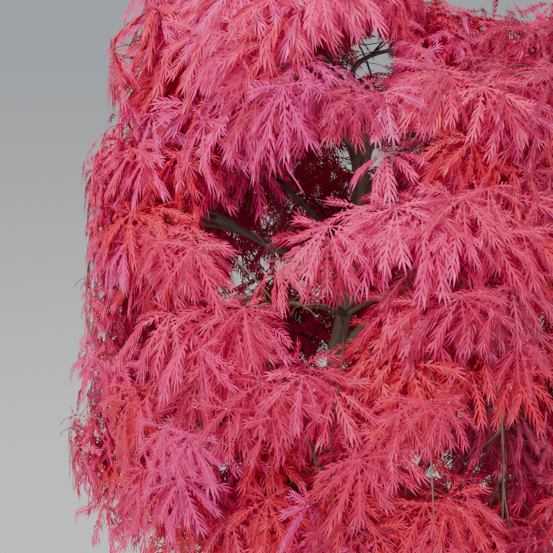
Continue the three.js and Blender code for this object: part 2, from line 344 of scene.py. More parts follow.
def tubes(lines, radii, sides, relief=None):
    """Closed round limbs along lines, an array of (limb, point, xyz), with a radius at each
    point. A ring of sides points stands square to the line at each of its points, and each end
    closes on the line. relief is added to the radius all round. Gives points, faces, and the
    coordinates on the bark: across and across, then along."""
    count, length = lines.shape[:2]
    ahead = unit(np.gradient(lines, axis=1))
    chord = unit(lines[:, -1] - lines[:, 0])
    steady = np.eye(3)[np.abs(chord).argmin(axis=1)][:, None]
    side = unit(np.cross(ahead, steady))
    over = np.cross(side, ahead)
    angle = np.linspace(0, 2 * math.pi, sides, endpoint=False)
    size = radii[..., None] + (np.zeros(sides) if relief is None else relief)
    spoke = np.cos(angle)[:, None] * side[:, :, None] + np.sin(angle)[:, None] * over[:, :, None]
    across = size[..., None] * spoke
    rings = lines[:, :, None] + across
    points = np.concatenate([rings.reshape(count, -1, 3), lines[:, :1], lines[:, -1:]], axis=1)
    index = np.arange(length * sides).reshape(length, sides)
    first = np.full((1, sides), length * sides)
    index = np.concatenate([first, index, first + 1])
    faces = ring_faces(index[None])[:, ::-1]
    per_limb = length * sides + 2
    faces = (faces[None] + np.arange(count)[:, None, None] * per_limb).reshape(-1, 3)
    spans = np.linalg.norm(np.diff(lines, axis=1), axis=-1)
    gone = np.concatenate([np.zeros((count, 1)), np.cumsum(spans, axis=1)], axis=1)
    bark = np.stack([
        size * np.cos(angle),
        size * np.sin(angle),
        np.broadcast_to(gone[..., None], size.shape)], -1)
    ends = np.zeros((count, 2, 3))
    ends[:, 1, 2] = gone[:, -1]
    bark = np.concatenate([bark.reshape(count, -1, 3), ends], axis=1)
    return points.reshape(-1, 3), faces, bark.reshape(-1, 3)


def joined(parts):
    """Several (points, faces, more...) arrays as one, with the point numbers moved up."""
    start = np.cumsum([0] + [len(part[0]) for part in parts[:-1]])
    points = np.concatenate([part[0] for part in parts])
    faces = np.concatenate([part[1] + s for part, s in zip(parts, start)])
    more = [np.concatenate([part[k] for part in parts]) for k in range(2, len(parts[0]))]
    return (points, faces, *more)


def bark_relief(line, radii, sides, node_gap, rng):
    """How far the bark stands out at each ring point: shallow ridges along the limb, fine
    wrinkles, and a raised ring with two opposite scars at each old node."""
    gone = np.concatenate([[0], np.cumsum(np.linalg.norm(np.diff(line, axis=0), axis=1))])
    angle = np.linspace(0, 2 * math.pi, sides, endpoint=False)
    round_and_along = np.stack([
        np.broadcast_to(np.cos(angle), (len(line), sides)),
        np.broadcast_to(np.sin(angle), (len(line), sides)),
        np.broadcast_to(gone[:, None] * 9, (len(line), sides))], -1)
    ridges = ripple(round_and_along, 14, 0.35, 1.6, rng)
    wrinkles = ripple(round_and_along * [1, 1, 9], 18, 0.3, 1.0, rng)
    from_node = (gone + rng.uniform(0, node_gap)) % node_gap - node_gap / 2
    number = np.floor((gone + node_gap) / node_gap)
    ring = np.exp(-(from_node / 0.0022) ** 2)[:, None]
    scar = np.exp(-(from_node / 0.004) ** 2)[:, None] * np.cos(angle - number[:, None] * math.pi / 2) ** 6
    return radii[:, None] * (0.055 * ridges + 0.02 * wrinkles + 0.06 * ring + 0.10 * scar)


def limb_line(name, near, steps=3):
    """The centre line of a CAD limb, away from the points near: its corner points are sorted
    by how far along its longest direction they lie, and each group gives a centre and a
    radius. The result has a row of x, y, z, radius for each group."""
    points = cad_points(name)
    middle = points.mean(axis=0)
    longest = np.linalg.svd(points - middle, full_matrices=False)[2][0]
    along = (points - middle) @ longest
    group = np.rint(steps * (along - along.min()) / np.ptp(along)).astype(int)
    filled = np.unique(group)
    centres = np.array([points[group == k].mean(axis=0) for k in filled])
    radii = np.array([np.linalg.norm(points[group == k] - c, axis=1).mean() for k, c in zip(filled, centres)])
    slope, start = np.polyfit(filled[1:-1], radii[1:-1], 1) if len(filled) > 3 else (0, radii.mean())
    line = np.column_stack([centres, np.maximum(start + slope * filled, 0.0015)])
    gap = [np.linalg.norm(near - line[end, :3], axis=1).min() for end in (0, -1)]
    return line if gap[0] < gap[1] else line[::-1]


# Bark: olive to grey-brown, with greener patches, streaked along the limb, with small
# pale pores. It reads the coordinates that run with each limb.
bark = plain("maple bark", (0.14, 0.12, 0.075), 0.8)
grain = add_node(bark, "ShaderNodeAttribute", {}, attribute_name="grain").outputs["Vector"]
long_way = add_node(bark, "ShaderNodeMapping", {
    "Vector": grain, "Scale": (420.0, 420.0, 22.0)}).outputs["Vector"]
streaks = add_node(bark, "ShaderNodeTexNoise", {
    "Vector": long_way, "Scale": 1.0, "Detail": 5.0, "Roughness": 0.65})
streak_tone = ramp(bark, streaks.outputs["Fac"], [
    (0.28, (0.130, 0.104, 0.074)),
    (0.46, (0.245, 0.215, 0.148)),
    (0.60, (0.345, 0.315, 0.220)),
    (0.80, (0.480, 0.435, 0.335)),
])
patches = add_node(bark, "ShaderNodeTexNoise", {"Vector": grain, "Scale": 22.0, "Detail": 3.0})
patch_share = add_node(bark, "ShaderNodeMapRange", {
    "Value": patches.outputs["Fac"], "From Min": 0.42, "From Max": 0.68, "To Min": 0.0, "To Max": 0.7})
patchy = add_node(bark, "ShaderNodeMix", {
    "Factor": patch_share.outputs["Result"], 6: streak_tone, 7: (0.250, 0.262, 0.135, 1)}, data_type="RGBA")
flat_way = add_node(bark, "ShaderNodeMapping", {
    "Vector": grain, "Scale": (330.0, 330.0, 620.0)}).outputs["Vector"]
pores = add_node(bark, "ShaderNodeTexVoronoi", {"Vector": flat_way, "Scale": 1.0, "Randomness": 1.0})
pore_share = add_node(bark, "ShaderNodeMapRange", {
    "Value": pores.outputs["Distance"], "From Min": 0.16, "From Max": 0.24, "To Min": 0.75, "To Max": 0.0})
pored = add_node(bark, "ShaderNodeMix", {
    "Factor": pore_share.outputs["Result"], 6: patchy.outputs[2], 7: (0.36, 0.31, 0.23, 1)}, data_type="RGBA")
feed(bark, "Base Color", pored.outputs[2])
streak_bump = add_node(bark, "ShaderNodeBump", {
    "Height": streaks.outputs["Fac"], "Strength": 0.6, "Distance": 0.0008})
pore_bump = add_node(bark, "ShaderNodeBump", {
    "Height": pore_share.outputs["Result"], "Strength": 0.5, "Distance": 0.0004,
    "Normal": streak_bump.outputs["Normal"]})
feed(bark, "Normal", pore_bump.outputs["Normal"])
bark_rough = add_node(bark, "ShaderNodeMapRange", {
    "Value": streaks.outputs["Fac"], "From Min": 0.3, "From Max": 0.7, "To Min": 0.62, "To Max": 0.9})
feed(bark, "Roughness", bark_rough.outputs["Result"])

rng = np.random.default_rng(7)
trunk_points = cad_points("trunk")
levels = np.unique(np.round(trunk_points[:, 2], 4))
trunk_rings = [trunk_points[np.abs(trunk_points[:, 2] - z) < 0.0003] for z in levels]
trunk_line = np.array([
    [*ring.mean(axis=0), np.linalg.norm(ring - ring.mean(axis=0), axis=1).mean()] for ring in trunk_rings])
trunk_line[0, 2] -= 0.006  # the foot runs on a little under the crumbs
trunk_rows, trunk_sides, trunk_node_gap = 260, 40, 0.048
trunk = curve(trunk_line, trunk_rows)
root_angle = np.linspace(0, 2 * math.pi, trunk_sides, endpoint=False)
root_share = np.exp(-(trunk[:, 2] - trunk[0, 2]) / 0.016)
root_swell = 0.22 * np.cos(5 * root_angle + 0.6) + 0.06 * np.cos(3 * root_angle)
roots = trunk[:, 3:] * root_share[:, None] * root_swell
trunk_relief = bark_relief(trunk[:, :3], trunk[:, 3], trunk_sides, trunk_node_gap, rng) + roots
trunk_part = tubes(trunk[None, :, :3], trunk[None, :, 3], trunk_sides, trunk_relief[None])
new_piece("trunk_bark", "bark", *trunk_part[:2], [bark], stands_for=["trunk"], grain=trunk_part[2])

node_names = sorted(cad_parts)
limbs = {}
for name in [n for n in node_names if n.startswith("bough_") and n[-1].isdigit()]:
    limbs[name] = limb_line(name, trunk[:, :3])
for name in [n for n in node_names if n.startswith("bough_") and not n[-1].isdigit()]:
    stem = limbs[name[:-2]]
    arm = limb_line(name, stem[-1:, :3])
    inside_stem = np.append(stem[-2, :3] * 0.4 + stem[-1, :3] * 0.6, arm[0, 3])
    limbs[name] = np.concatenate([[inside_stem], arm])
masses = [n for n in node_names if n.startswith("foliage_")]
mass_points = {name: cad_points(name) for name in masses}
feeder = {}
for name, line in limbs.items():
    if name + "_a" in limbs:
        continue
    gap = {m: np.linalg.norm(mass_points[m] - line[-1, :3], axis=1).min() for m in masses if m not in feeder}
    feeder[min(gap, key=gap.get)] = name


def on_trunk(height):
    """The trunk's centre at a height, or the point straight above its tip."""
    x, y = (np.interp(height, trunk[:, 2], trunk[:, k]) for k in (0, 1))
    return np.array([x, y, height])


def bezier(a, b, c, d, count):
    """Cubic curves between a and d, pulled by b and c, with count points each."""
    t = np.linspace(0, 1, count)[:, None]
    a, b, c, d = (np.asarray(p, float)[..., None, :] for p in (a, b, c, d))
    return (1 - t) ** 3 * a + 3 * t * (1 - t) ** 2 * b + 3 * t ** 2 * (1 - t) * c + t ** 3 * d


bough_rows, bough_sides, bough_node_gap = 70, 18, 0.032
bough_parts = []
for name, line in limbs.items():
    base = line[0].copy()
    if not name.endswith(("_a", "_b")):
        ahead = unit(line[1, :3] - line[0, :3])
        base[:3] -= ahead * 0.008
        base[3] = line[0, 3] * 1.5
        line = np.concatenate([[base], line])
    smooth = curve(line, bough_rows)
    relief = bark_relief(smooth[:, :3], smooth[:, 3], bough_sides, bough_node_gap, rng)
    bough_parts.append(tubes(smooth[None, :, :3], smooth[None, :, 3], bough_sides, relief[None]))
boughs = joined(bough_parts)
new_piece("bough_bark", "bark", *boughs[:2], [bark], stands_for=list(limbs), grain=boughs[2])

# ---------------------------------------------------------------- twigs
# In each mass a leading branch grows on from its bough and hangs over. Shoots leave it to
# reach points spread over the mass, and side twigs leave the shoots in opposite pairs.

UP = np.array([0.0, 0.0, 1.0])
TIER_NAMES = ["top", "crest", "shoulder", "upper", "middle", "skirt"]
tier_of = np.array([TIER_NAMES.index(m.split("_")[1]) for m in masses])
# The points that bound each tier. The top and the crest share theirs, and the shoulder's take
# in the crest's.
shells = []
for tiers_in_reach in ((0, 1), (0, 1), (1, 2), (3,), (4,), (5,)):
    near_by = [mass_points[m] for k, m in enumerate(masses) if tier_of[k] in tiers_in_reach]
    shells.append(np.concatenate(near_by))
COMPASS_STEP = 5  # degrees
COMPASS = np.radians(np.arange(0, 361, COMPASS_STEP))
compass_ways = np.stack([np.sin(COMPASS), -np.cos(COMPASS), np.zeros(len(COMPASS))], -1)
outline = np.array([(shell @ compass_ways.T).max(axis=0) for shell in shells])


def crown_reach(tier, places):
    """How far from the plant's middle the crown's outline lies, in the direction of each place
    and at its tier: between two entries of a table with one for each five degrees."""
    way = np.arctan2(places[..., 0], -places[..., 1]) % (2 * math.pi) / math.radians(COMPASS_STEP)
    step = np.minimum(way.astype(int), len(COMPASS) - 2)
    share = way - step
    return outline[tier, step] * (1 - share) + outline[tier, step + 1] * share


SHOOTS = {"top": 8, "crest": 10, "shoulder": 8, "upper": 11, "middle": 10, "skirt": 10}
INSET = 0.050  # from a mass's surface in to the tips of its shoots
TOP_INSET = 0.018  # the same where leaves hang down from the tips, on a mass's upper side
FILL = 0.6  # share of the gap to the crown's outline by which outer shoots come forward
DOME_RISE = 0.085  # how far the inner tips on top of the upper tier lift towards the crest
DOME_RIGHT = 0.03  # the x up to which the crown's top is rounded off
EAVES = 5  # shoots that arch down from each of the highest masses on to the tier below
EAVES_SWING = 1.2  # how far to either side of the way out they point, in radians
EAVES_REACH = (0.48, 0.80)  # share of the crown's outline that they reach
EAVES_TOP = 0.022  # how far below the crown's top their tips would lie over the middle
EAVES_DROP = 0.11  # how much lower still at the outline, growing with the square of the share
LID = 6  # shoots that close the top of the crown over the trunk's fork
LID_MIDDLE = np.array([0.042, -0.08, 0.118])  # from the trunk's tip to the middle of that lid
LID_HALF = np.array([0.030, 0.080, 0.0])  # its half-width across and from front to back
WEEPING_INSET = 0.034  # from the crown's outline in to the tip of a mass's long weeping shoot
LEADER_POINTS, SHOOT_POINTS, TWIGLET_POINTS, WHIP_POINTS = 16, 12, 6, 24
MIDWAY = 8  # the point of a leading branch where the weeping shoot and skirt branches leave
INNER = 6  # the same for eaves and lid


def shoot_row(name, leader, place, target, outward, lean=0.0):
    """One shoot as a row of numbers: its mass, the point where it leaves the leading branch, the
    branch's heading there, its tip, the way out of the crown, and the branch's radius."""
    heading = unit(leader[place + 1, :3] - leader[place - 1, :3] + outward * lean)
    return (masses.index(name), *leader[place, :3], *heading, *target, *outward, leader[place, 3])


rng = np.random.default_rng(2027)
leaders = {}
shoot_rows = []
for name in sorted(masses, key=lambda m: ("skirt" in m, m)):
    tier = name.split("_")[1]
    points = mass_points[name]
    centre = (points.min(axis=0) + points.max(axis=0)) / 2
    outward = centre - on_trunk(centre[2])
    outward[2] = 0
    outward = unit(outward)
    half_out = np.abs((points - centre) @ outward).max()
    half_up = np.ptp(points[:, 2]) / 2
    if name in feeder:
        line = limbs[feeder[name]]
        start, heading, thick = line[-1, :3], unit(line[-1, :3] - line[-2, :3]), line[-1, 3]
    else:
        middles = [m for m in leaders if "middle" in m]
        above = min(middles, key=lambda m: np.linalg.norm(leaders[m][-1, :3] - centre))
        start = leaders[above][MIDWAY, :3]
        heading = unit(leaders[above][MIDWAY + 1, :3] - start)
        thick = leaders[above][MIDWAY, 3] * 0.9
    end = centre + outward * half_out * 0.35 - UP * half_up * 0.55
    reach = np.linalg.norm(end - start)
    over = centre + outward * half_out * 0.25 + UP * half_up * 0.35
    line = bezier(start - heading * 0.004, start + heading * reach * 0.35, over, end, LEADER_POINTS)
    leader = np.column_stack([line, np.linspace(thick, 0.0009, LEADER_POINTS)])
    leaders[name] = leader
    outer = points[((points - centre) @ outward) > -0.42 * half_out]
    chosen = [int(rng.integers(len(outer)))]
    for _ in range(SHOOTS[tier] - 1):
        gaps = np.linalg.norm(outer[:, None] - outer[chosen], axis=-1).min(axis=1)
        chosen.append(int((gaps * rng.uniform(0.8, 1.0, len(gaps))).argmax()))
    for target in outer[chosen]:
        arm = target - centre
        length = np.linalg.norm(arm)
        keep_level = max(0.25, 1 - INSET / length)
        keep_upright = 1 - (TOP_INSET if arm[2] > 0 else INSET) / length
        target = centre + arm * [keep_level, keep_level, max(0.25, keep_upright)] * rng.uniform(0.92, 1.0)
        reached = np.hypot(*target[:2])
        spare = crown_reach(TIER_NAMES.index(tier), target) - INSET - reached
        if arm @ outward > 0.2 * half_out and spare > 0 and tier in ("upper", "middle", "skirt"):
            target[:2] *= 1 + FILL * spare / reached
        if tier == "upper" and arm[2] > 0 and target[0] < DOME_RIGHT:
            share = np.hypot(*target[:2]) / crown_reach(TIER_NAMES.index(tier), target)
            target[2] += DOME_RISE * max(0, 1 - share)
        nearest = np.linalg.norm(leader[:, :3] - target, axis=1).argmin()
        leave = int(np.clip(nearest * 0.72 + rng.integers(-1, 2), 1, LEADER_POINTS - 3))
        shoot_rows.append(shoot_row(name, leader, leave, target, outward))
    if tier in ("upper", "middle"):
        swing = rng.uniform(-0.3, 0.3)
        way = outward * math.cos(swing) + np.cross(UP, outward) * math.sin(swing)
        target = way * (crown_reach(TIER_NAMES.index(tier), way) - WEEPING_INSET)
        target = target + UP * (points[:, 2].min() - rng.uniform(0.0, 0.04))
        shoot_rows.append(shoot_row(name, leader, MIDWAY, target, outward, 0.01))
    extra = []
    if tier in ("top", "crest", "shoulder"):
        for swing in rng.uniform(-EAVES_SWING, EAVES_SWING, EAVES):
            way = outward * math.cos(swing) + np.cross(UP, outward) * math.sin(swing)
            share = rng.uniform(*EAVES_REACH)
            place = way * share * crown_reach(TIER_NAMES.index("upper"), way)
            if place[0] < DOME_RIGHT:
                extra.append(place + UP * (cad_high[2] - EAVES_TOP - EAVES_DROP * share ** 2))
    if tier == "top":
        for turn_at in np.linspace(0, 2 * math.pi, LID, endpoint=False):
            round_lid = np.array([math.cos(turn_at), math.sin(turn_at), 0])
            extra.append(trunk[-1, :3] + (LID_MIDDLE + LID_HALF * round_lid))
    for target in extra:
        shoot_rows.append(shoot_row(name, leader, INNER, target, outward))
shoots = np.array(shoot_rows)
shoot_mass = shoots[:, 0].astype(int)
shoot_start, shoot_heading, shoot_end, shoot_out = (shoots[:, k:k + 3] for k in (1, 4, 7, 10))
shoot_length = np.linalg.norm(shoot_end - shoot_start, axis=1, keepdims=True)
straight = unit(shoot_end - shoot_start)
shoot_lines = bezier(
    shoot_start,
    shoot_start + shoot_length * (0.24 * shoot_heading + 0.20 * straight + 0.12 * UP),
    shoot_end - shoot_length * 0.22 * straight + shoot_length * 0.20 * UP,
    shoot_end, SHOOT_POINTS)
wander = rng.normal(size=(len(shoots), 1, 3)) * np.sin(np.linspace(0, 2 * math.pi, SHOOT_POINTS))[:, None]
shoot_lines += wander * shoot_length[:, :, None] * 0.018
shoot_thick = np.minimum(0.0013, shoots[:, 13] * 0.85)
shoot_radii = shoot_thick[:, None] + (0.0006 - shoot_thick[:, None]) * np.linspace(0, 1, SHOOT_POINTS)


def node_frames(lines, place, outward):
    """Where buds sit on lines at the point number place: the point, the way ahead, and the
    level direction to one side, which on a stretch that hangs plumb is square to outward."""
    at = lines[:, place]
    ahead = unit(lines[:, min(place + 1, lines.shape[1] - 1)] - lines[:, place - 1])
    side = np.cross(ahead, UP)
    weak = np.linalg.norm(side, axis=1, keepdims=True) < 0.25
    return at, ahead, unit(np.where(weak, np.cross(outward, UP), side))


fork_at, fork_ahead, fork_side = node_frames(shoot_lines, SHOOT_POINTS // 2, shoot_out)
twiglet_starts = np.concatenate([fork_at, fork_at])
twiglet_ahead = np.concatenate([fork_ahead, fork_ahead])
twiglet_side = np.concatenate([fork_side, -fork_side])
twiglet_spray = np.tile(np.arange(len(shoots)), 2)
twiglet_length = rng.uniform(0.034, 0.068, (len(twiglet_starts), 1))
twiglet_scatter = rng.normal(size=twiglet_starts.shape) * 0.12
twiglet_way = unit(0.75 * twiglet_side + 0.62 * twiglet_ahead + 0.22 * UP + twiglet_scatter)
twiglet_lines = bezier(
    twiglet_starts,
    twiglet_starts + twiglet_way * twiglet_length * 0.4,
    twiglet_starts + twiglet_way * twiglet_length * 0.8,
    twiglet_starts + twiglet_way * twiglet_length - UP * twiglet_length * 0.22, TWIGLET_POINTS)
twiglet_radii = np.linspace(0.0008, 0.0005, TWIGLET_POINTS)[None].repeat(len(twiglet_lines), axis=0)

# Long bare whips spring from the forks of the boughs, arch out between the masses and hang
# down the face of the crown, with leaves only near their ends.
WHIP_REACH = 0.95  # share of the crown's outline that a whip swings out to
whips = []
for name in [n for n in limbs if n + "_a" in limbs]:
    fork_place = limbs[name][-1, :3]
    tier = TIER_NAMES.index(name.split("_")[1])
    for lean in (-0.16, 0.20):
        way = unit(fork_place * [1, 1, 0])
        way = way + np.cross(UP, way) * (lean + rng.uniform(-0.08, 0.08))
        way = unit(way) * crown_reach(tier, way) * WHIP_REACH
        crook = way + UP * (fork_place[2] + rng.uniform(0.00, 0.05))
        hang = way + UP * (fork_place[2] - rng.uniform(0.12, 0.24))
        rising = 0.45 * fork_place + 0.55 * crook + UP * 0.07
        whips.append(bezier(fork_place, rising, crook, hang, WHIP_POINTS))
whip_lines = np.stack(whips)
whip_wave = np.sin(np.linspace(0, 3 * math.pi, WHIP_POINTS))[:, None]
whip_lines += rng.normal(size=(len(whips), 1, 3)) * 0.005 * whip_wave
whip_radii = np.linspace(0.0017, 0.0007, WHIP_POINTS)[None].repeat(len(whips), axis=0)
whip_spray = np.linalg.norm(shoot_end[None] - whip_lines[:, -1:], axis=-1).argmin(axis=1)

# ---------------------------------------------------------------- leaves
# Seven or nine long lobes spread from the end of the stalk like the fingers of a hand. Each lobe is
# cut nearly to its midrib into narrow, forward-pointing leaflets. They sit in opposite pairs.


def lobe(length, teeth, bend, sway, rng):
    """One lobe along +Y with its upper face to +Z. Its midrib strip is a thread at first,
    widest past the middle, and runs out to a long thin tip. Narrow leaflets spring from both
    edges and point forward, longest past the middle; each has a shoulder on its outer edge and
    a fine point. The whole bends down and sideways with the square of the distance. Gives
    points, triangles and zones: 0 midrib, 1 blade, 2 tip."""
    rows = teeth + 2
    u = np.concatenate([[0], np.linspace(0.20, 0.84, rows - 1)])
    half = length * (0.007 + 0.014 * np.sin(np.pi * u ** 1.2) ** 1.3)
    right = np.stack([half, u * length, np.zeros(rows)], -1)
    left = right * [-1, 1, 1]
    r, l = np.arange(rows), np.arange(rows) + rows
    t = 2 * rows
    points = [right, left, np.array([[0, length, 0]])]
    faces = [
        np.stack([l[:-1], r[:-1], r[1:]], -1),
        np.stack([l[:-1], r[1:], l[1:]], -1),
        np.array([[l[-1], r[-1], t]])]
    zones = [np.zeros(2 * (rows - 1), int), np.array([2])]
    start = t + 1
    at = u[1:-1]
    envelope = np.sin(np.pi * (at - 0.10) / 0.95) ** 0.9
    for edge_rows, edge, mirror in ((r[1:], right[1:], 1), (l[1:], left[1:], -1)):
        size = length * 0.27 * envelope * rng.uniform(0.74, 1.16, teeth)
        lean = np.radians(33 - 15 * at + rng.uniform(-6, 6, teeth))
        way = np.stack([mirror * np.sin(lean), np.cos(lean), rng.uniform(-0.15, 0.30, teeth)], -1)
        back = np.stack([mirror * np.cos(lean), -np.sin(lean), np.zeros(teeth)], -1)
        root = edge[:-1]
        upper_root = 0.55 * edge[:-1] + 0.45 * edge[1:]
        shoulder = root + way * size[:, None] * 0.50 + back * length * 0.018
        point = root + way * size[:, None] * [0.93, 1, 0.2] - [0, 0, 0.012 * length]
        points += [upper_root, shoulder, point]
        n, s, p = (np.arange(teeth) + start + teeth * k for k in range(3))
        start += 3 * teeth
        fresh = [np.stack([edge_rows[:-1], s, n], -1), np.stack([s, p, n], -1)]
        faces += [part if mirror < 0 else part[:, ::-1] for part in fresh]
        # Leaflets on the outer part of a lobe, and a few at random, take the tip colour. It is paler and
        # pinker than the blade: partly the leaves' own pale tips, partly painted sheen.
        pale = (at > 0.70) | (rng.random(teeth) < 0.12)
        zones += [np.ones(teeth, int), np.where(pale, 2, 1)]
    points = np.concatenate(points)
    far = points[:, 1] / length
    points[:, 2] -= bend * length * far ** 2
    points[:, 0] += sway * length * far ** 2
    return points, np.concatenate(faces), np.concatenate(zones)


def leaf_shape(pairs, rng):
    """A whole leaf of unit middle lobe, its stalk joining at the origin: a middle lobe on +Y
    and pairs of side lobes, shorter the further round they stand."""
    turns = np.array([0, 30, 61, 95, 132])
    lengths = np.array([1.0, 0.97, 0.88, 0.72, 0.46])
    teeth = [7, 7, 7, 6, 4]
    parts = []
    for k in range(pairs + 1):
        for side in ((1,) if k == 0 else (1, -1)):
            points, faces, zones = lobe(
                lengths[k] * rng.uniform(0.84, 1.10), teeth[k], rng.uniform(0.0, 0.40),
                rng.uniform(-0.16, 0.16), rng)
            lift = math.radians(rng.uniform(-20, 18))
            points = points @ np.array([
                [1, 0, 0], [0, math.cos(lift), math.sin(lift)], [0, -math.sin(lift), math.cos(lift)]])
            turn = math.radians(-side * (turns[k] + rng.uniform(-9, 9)))
            points = points @ np.array([
                [math.cos(turn), math.sin(turn), 0], [-math.sin(turn), math.cos(turn), 0], [0, 0, 1]])
            parts.append((points, faces, zones))
    return joined(parts)


rng = np.random.default_rng(515)
LEAF_KINDS = 16
LEAF_SHAPES = [leaf_shape(4 if k % 3 else 3, rng) for k in range(LEAF_KINDS)]

# The leaf nodes, each with its lines, the point on them, how far the stalks spread, and the
# spray: pairs near the end and at the tip of each shoot and whip, and one on each twiglet.
own_spray = np.arange(len(shoots))
groups = [
    (shoot_lines, SHOOT_POINTS - 3, 0.75, own_spray),
    (shoot_lines, SHOOT_POINTS - 1, 0.5, own_spray),
    (twiglet_lines, TWIGLET_POINTS - 1, 0.62, twiglet_spray),
    (whip_lines, WHIP_POINTS - 1, 0.6, whip_spray),
    (whip_lines, WHIP_POINTS - 4, 0.7, whip_spray),
]
bud_rows = []
for lines, place, spread, spray in groups:
    at, ahead, side = node_frames(lines, place, shoot_out[spray])
    for sign in (1, -1):
        bud_rows.append(np.column_stack([at, ahead, side * sign, np.full(len(at), spread), spray]))
buds = np.concatenate(bud_rows)
bud_at, bud_ahead, bud_side = buds[:, 0:3], buds[:, 3:6], buds[:, 6:9]
bud_spread = buds[:, 9:10]
bud_spray = buds[:, 10].astype(int)
bud_out = shoot_out[bud_spray]
count = len(buds)
bud_tier = tier_of[shoot_mass[bud_spray]]

stalk_length = rng.uniform(0.014, 0.034, (count, 1))
stalk_scatter = rng.normal(size=(count, 3)) * 0.16
stalk_way = unit(bud_spread * bud_side + 0.62 * bud_ahead + 0.30 * UP + 0.2 * bud_out + stalk_scatter)
joint = bud_at + stalk_way * stalk_length - UP * stalk_length * 0.22
stalk_lines = bezier(
    bud_at, bud_at + stalk_way * stalk_length * 0.45, bud_at + stalk_way * stalk_length * 0.85, joint, 4)

# Each leaf points out and down from its stalk, steeper in the tiers under the crown's top, and
# steeper still where it would pass the outer points of its tier.
beside = [np.interp(joint[:, 2], trunk[:, 2], trunk[:, k]) for k in (0, 1)]
radial = joint - np.column_stack([*beside, joint[:, 2]])
bud_out = unit(bud_out + unit(radial))
level = unit(stalk_way * [1, 1, 0] * 0.75 + bud_out * 1.0 + rng.normal(size=(count, 3)) * [0.42, 0.42, 0])
leaf_size = rng.uniform(0.056, 0.076, count)
dip = np.radians(np.array([22, 32, 30, 44, 52, 56])[bud_tier] + rng.uniform(-20, 20, count))
for tier in range(len(TIER_NAMES)):
    rows = bud_tier == tier
    room = (shells[tier] @ level[rows].T).max(axis=0) - (joint[rows] * level[rows]).sum(axis=1)
    dip[rows] = np.maximum(dip[rows], np.arccos(np.clip(room / leaf_size[rows], 0.10, 1)))
dip = dip[:, None]
leaf_ahead = level * np.cos(dip) - UP * np.sin(dip)
face_up = bud_out * 0.9 + UP * 0.75 + rng.normal(size=(count, 3)) * 0.42
leaf_up = unit(face_up - (face_up * leaf_ahead).sum(axis=1, keepdims=True) * leaf_ahead)
leaf_side = np.cross(leaf_ahead, leaf_up)
leaf_kind = rng.integers(len(LEAF_SHAPES), size=count)


DROOP = 5.0  # per metre
OVERHANG = 0.006  # how far lobes may stand out of the crown's outline before they bend
BEND_IN, BEND_DOWN = 0.8, 0.4  # shares of the excess


def placed(kind, rows):
    """The points of leaves of one shape at their stalks, an array of (leaf, point, xyz). The
    lobes sink with the square of their level distance from the stalk, and what would stand
    out of the crown's outline bends in and down."""
    local = LEAF_SHAPES[kind][0]
    axes = np.stack([leaf_side[rows], leaf_ahead[rows], leaf_up[rows]], 1)
    offset = np.einsum("pk,nkx->npx", local, axes) * leaf_size[rows, None, None]
    offset[..., 2] -= (offset[..., 0] ** 2 + offset[..., 1] ** 2) * DROOP
    points = joint[rows][:, None] + offset
    reach = np.hypot(points[..., 0], points[..., 1])
    excess = np.maximum(reach - crown_reach(bud_tier[rows][:, None], points) - OVERHANG, 0)
    points[..., :2] *= (1 - BEND_IN * excess / reach)[..., None]
    points[..., 2] -= BEND_DOWN * excess
    return points


# Open places in the crown, each a slanting tube from front to back: its x and z at y = 0, its
# radius, and the y it ends at. A leaf with more than a small share in one is not grown.
OPENINGS = np.array([
    [0.040, 0.865, 0.024, 0.40],
    [-0.118, 0.665, 0.022, 0.12],
    [0.004, 0.752, 0.016, 0.10],
    [-0.008, 0.545, 0.026, -0.02],
])
MOST_IN_THE_WAY = 0.04  # the share of a leaf's points that may lie in an opening
eye = np.array([-0.07, -1.545, 1.014])  # the camera's place, at which the tubes would meet
keep = np.ones(count, bool)
for kind in range(len(LEAF_SHAPES)):
    rows = np.flatnonzero(leaf_kind == kind)
    shape = placed(kind, rows)
    for x, z, radius, deepest in OPENINGS:
        sight = unit(np.array([x, 0, z]) - eye)
        arm = shape - eye
        off = np.linalg.norm(arm - (arm @ sight)[..., None] * sight, axis=-1)
        blocked = (off < radius) & (shape[..., 1] < deepest)
        keep[rows] &= blocked.mean(axis=1) < MOST_IN_THE_WAY

# Autumn tints, mostly one to a spray, each with colours for blade, midrib and tips. They are dealt out
# partly by chance and partly as painted light: the deep, dark reds come low, far in and to the right as
# painted shade and painted glow of light through the leaves, and the pinks high, far out and to the left
# as painted sheen of the sky, with chance mixed into the order.
TINTS = [
    ("rose", (0.80, 0.006, 0.160), (0.83, 0.018, 0.195), (0.88, 0.060, 0.290)),
    ("pink", (0.79, 0.010, 0.205), (0.83, 0.028, 0.250), (0.89, 0.090, 0.370)),
    ("crimson", (0.66, 0.003, 0.086), (0.72, 0.010, 0.112), (0.82, 0.042, 0.185)),
    ("scarlet", (0.69, 0.003, 0.046), (0.74, 0.008, 0.062), (0.82, 0.036, 0.125)),
    ("carmine", (0.50, 0.003, 0.074), (0.57, 0.008, 0.095), (0.70, 0.040, 0.175)),
    ("wine", (0.34, 0.003, 0.046), (0.42, 0.007, 0.064), (0.56, 0.032, 0.130)),
    ("magenta", (0.72, 0.010, 0.205), (0.77, 0.028, 0.245), (0.86, 0.095, 0.360)),
    ("coral", (0.77, 0.005, 0.098), (0.81, 0.014, 0.125), (0.87, 0.055, 0.195)),
]
leaf_materials = []
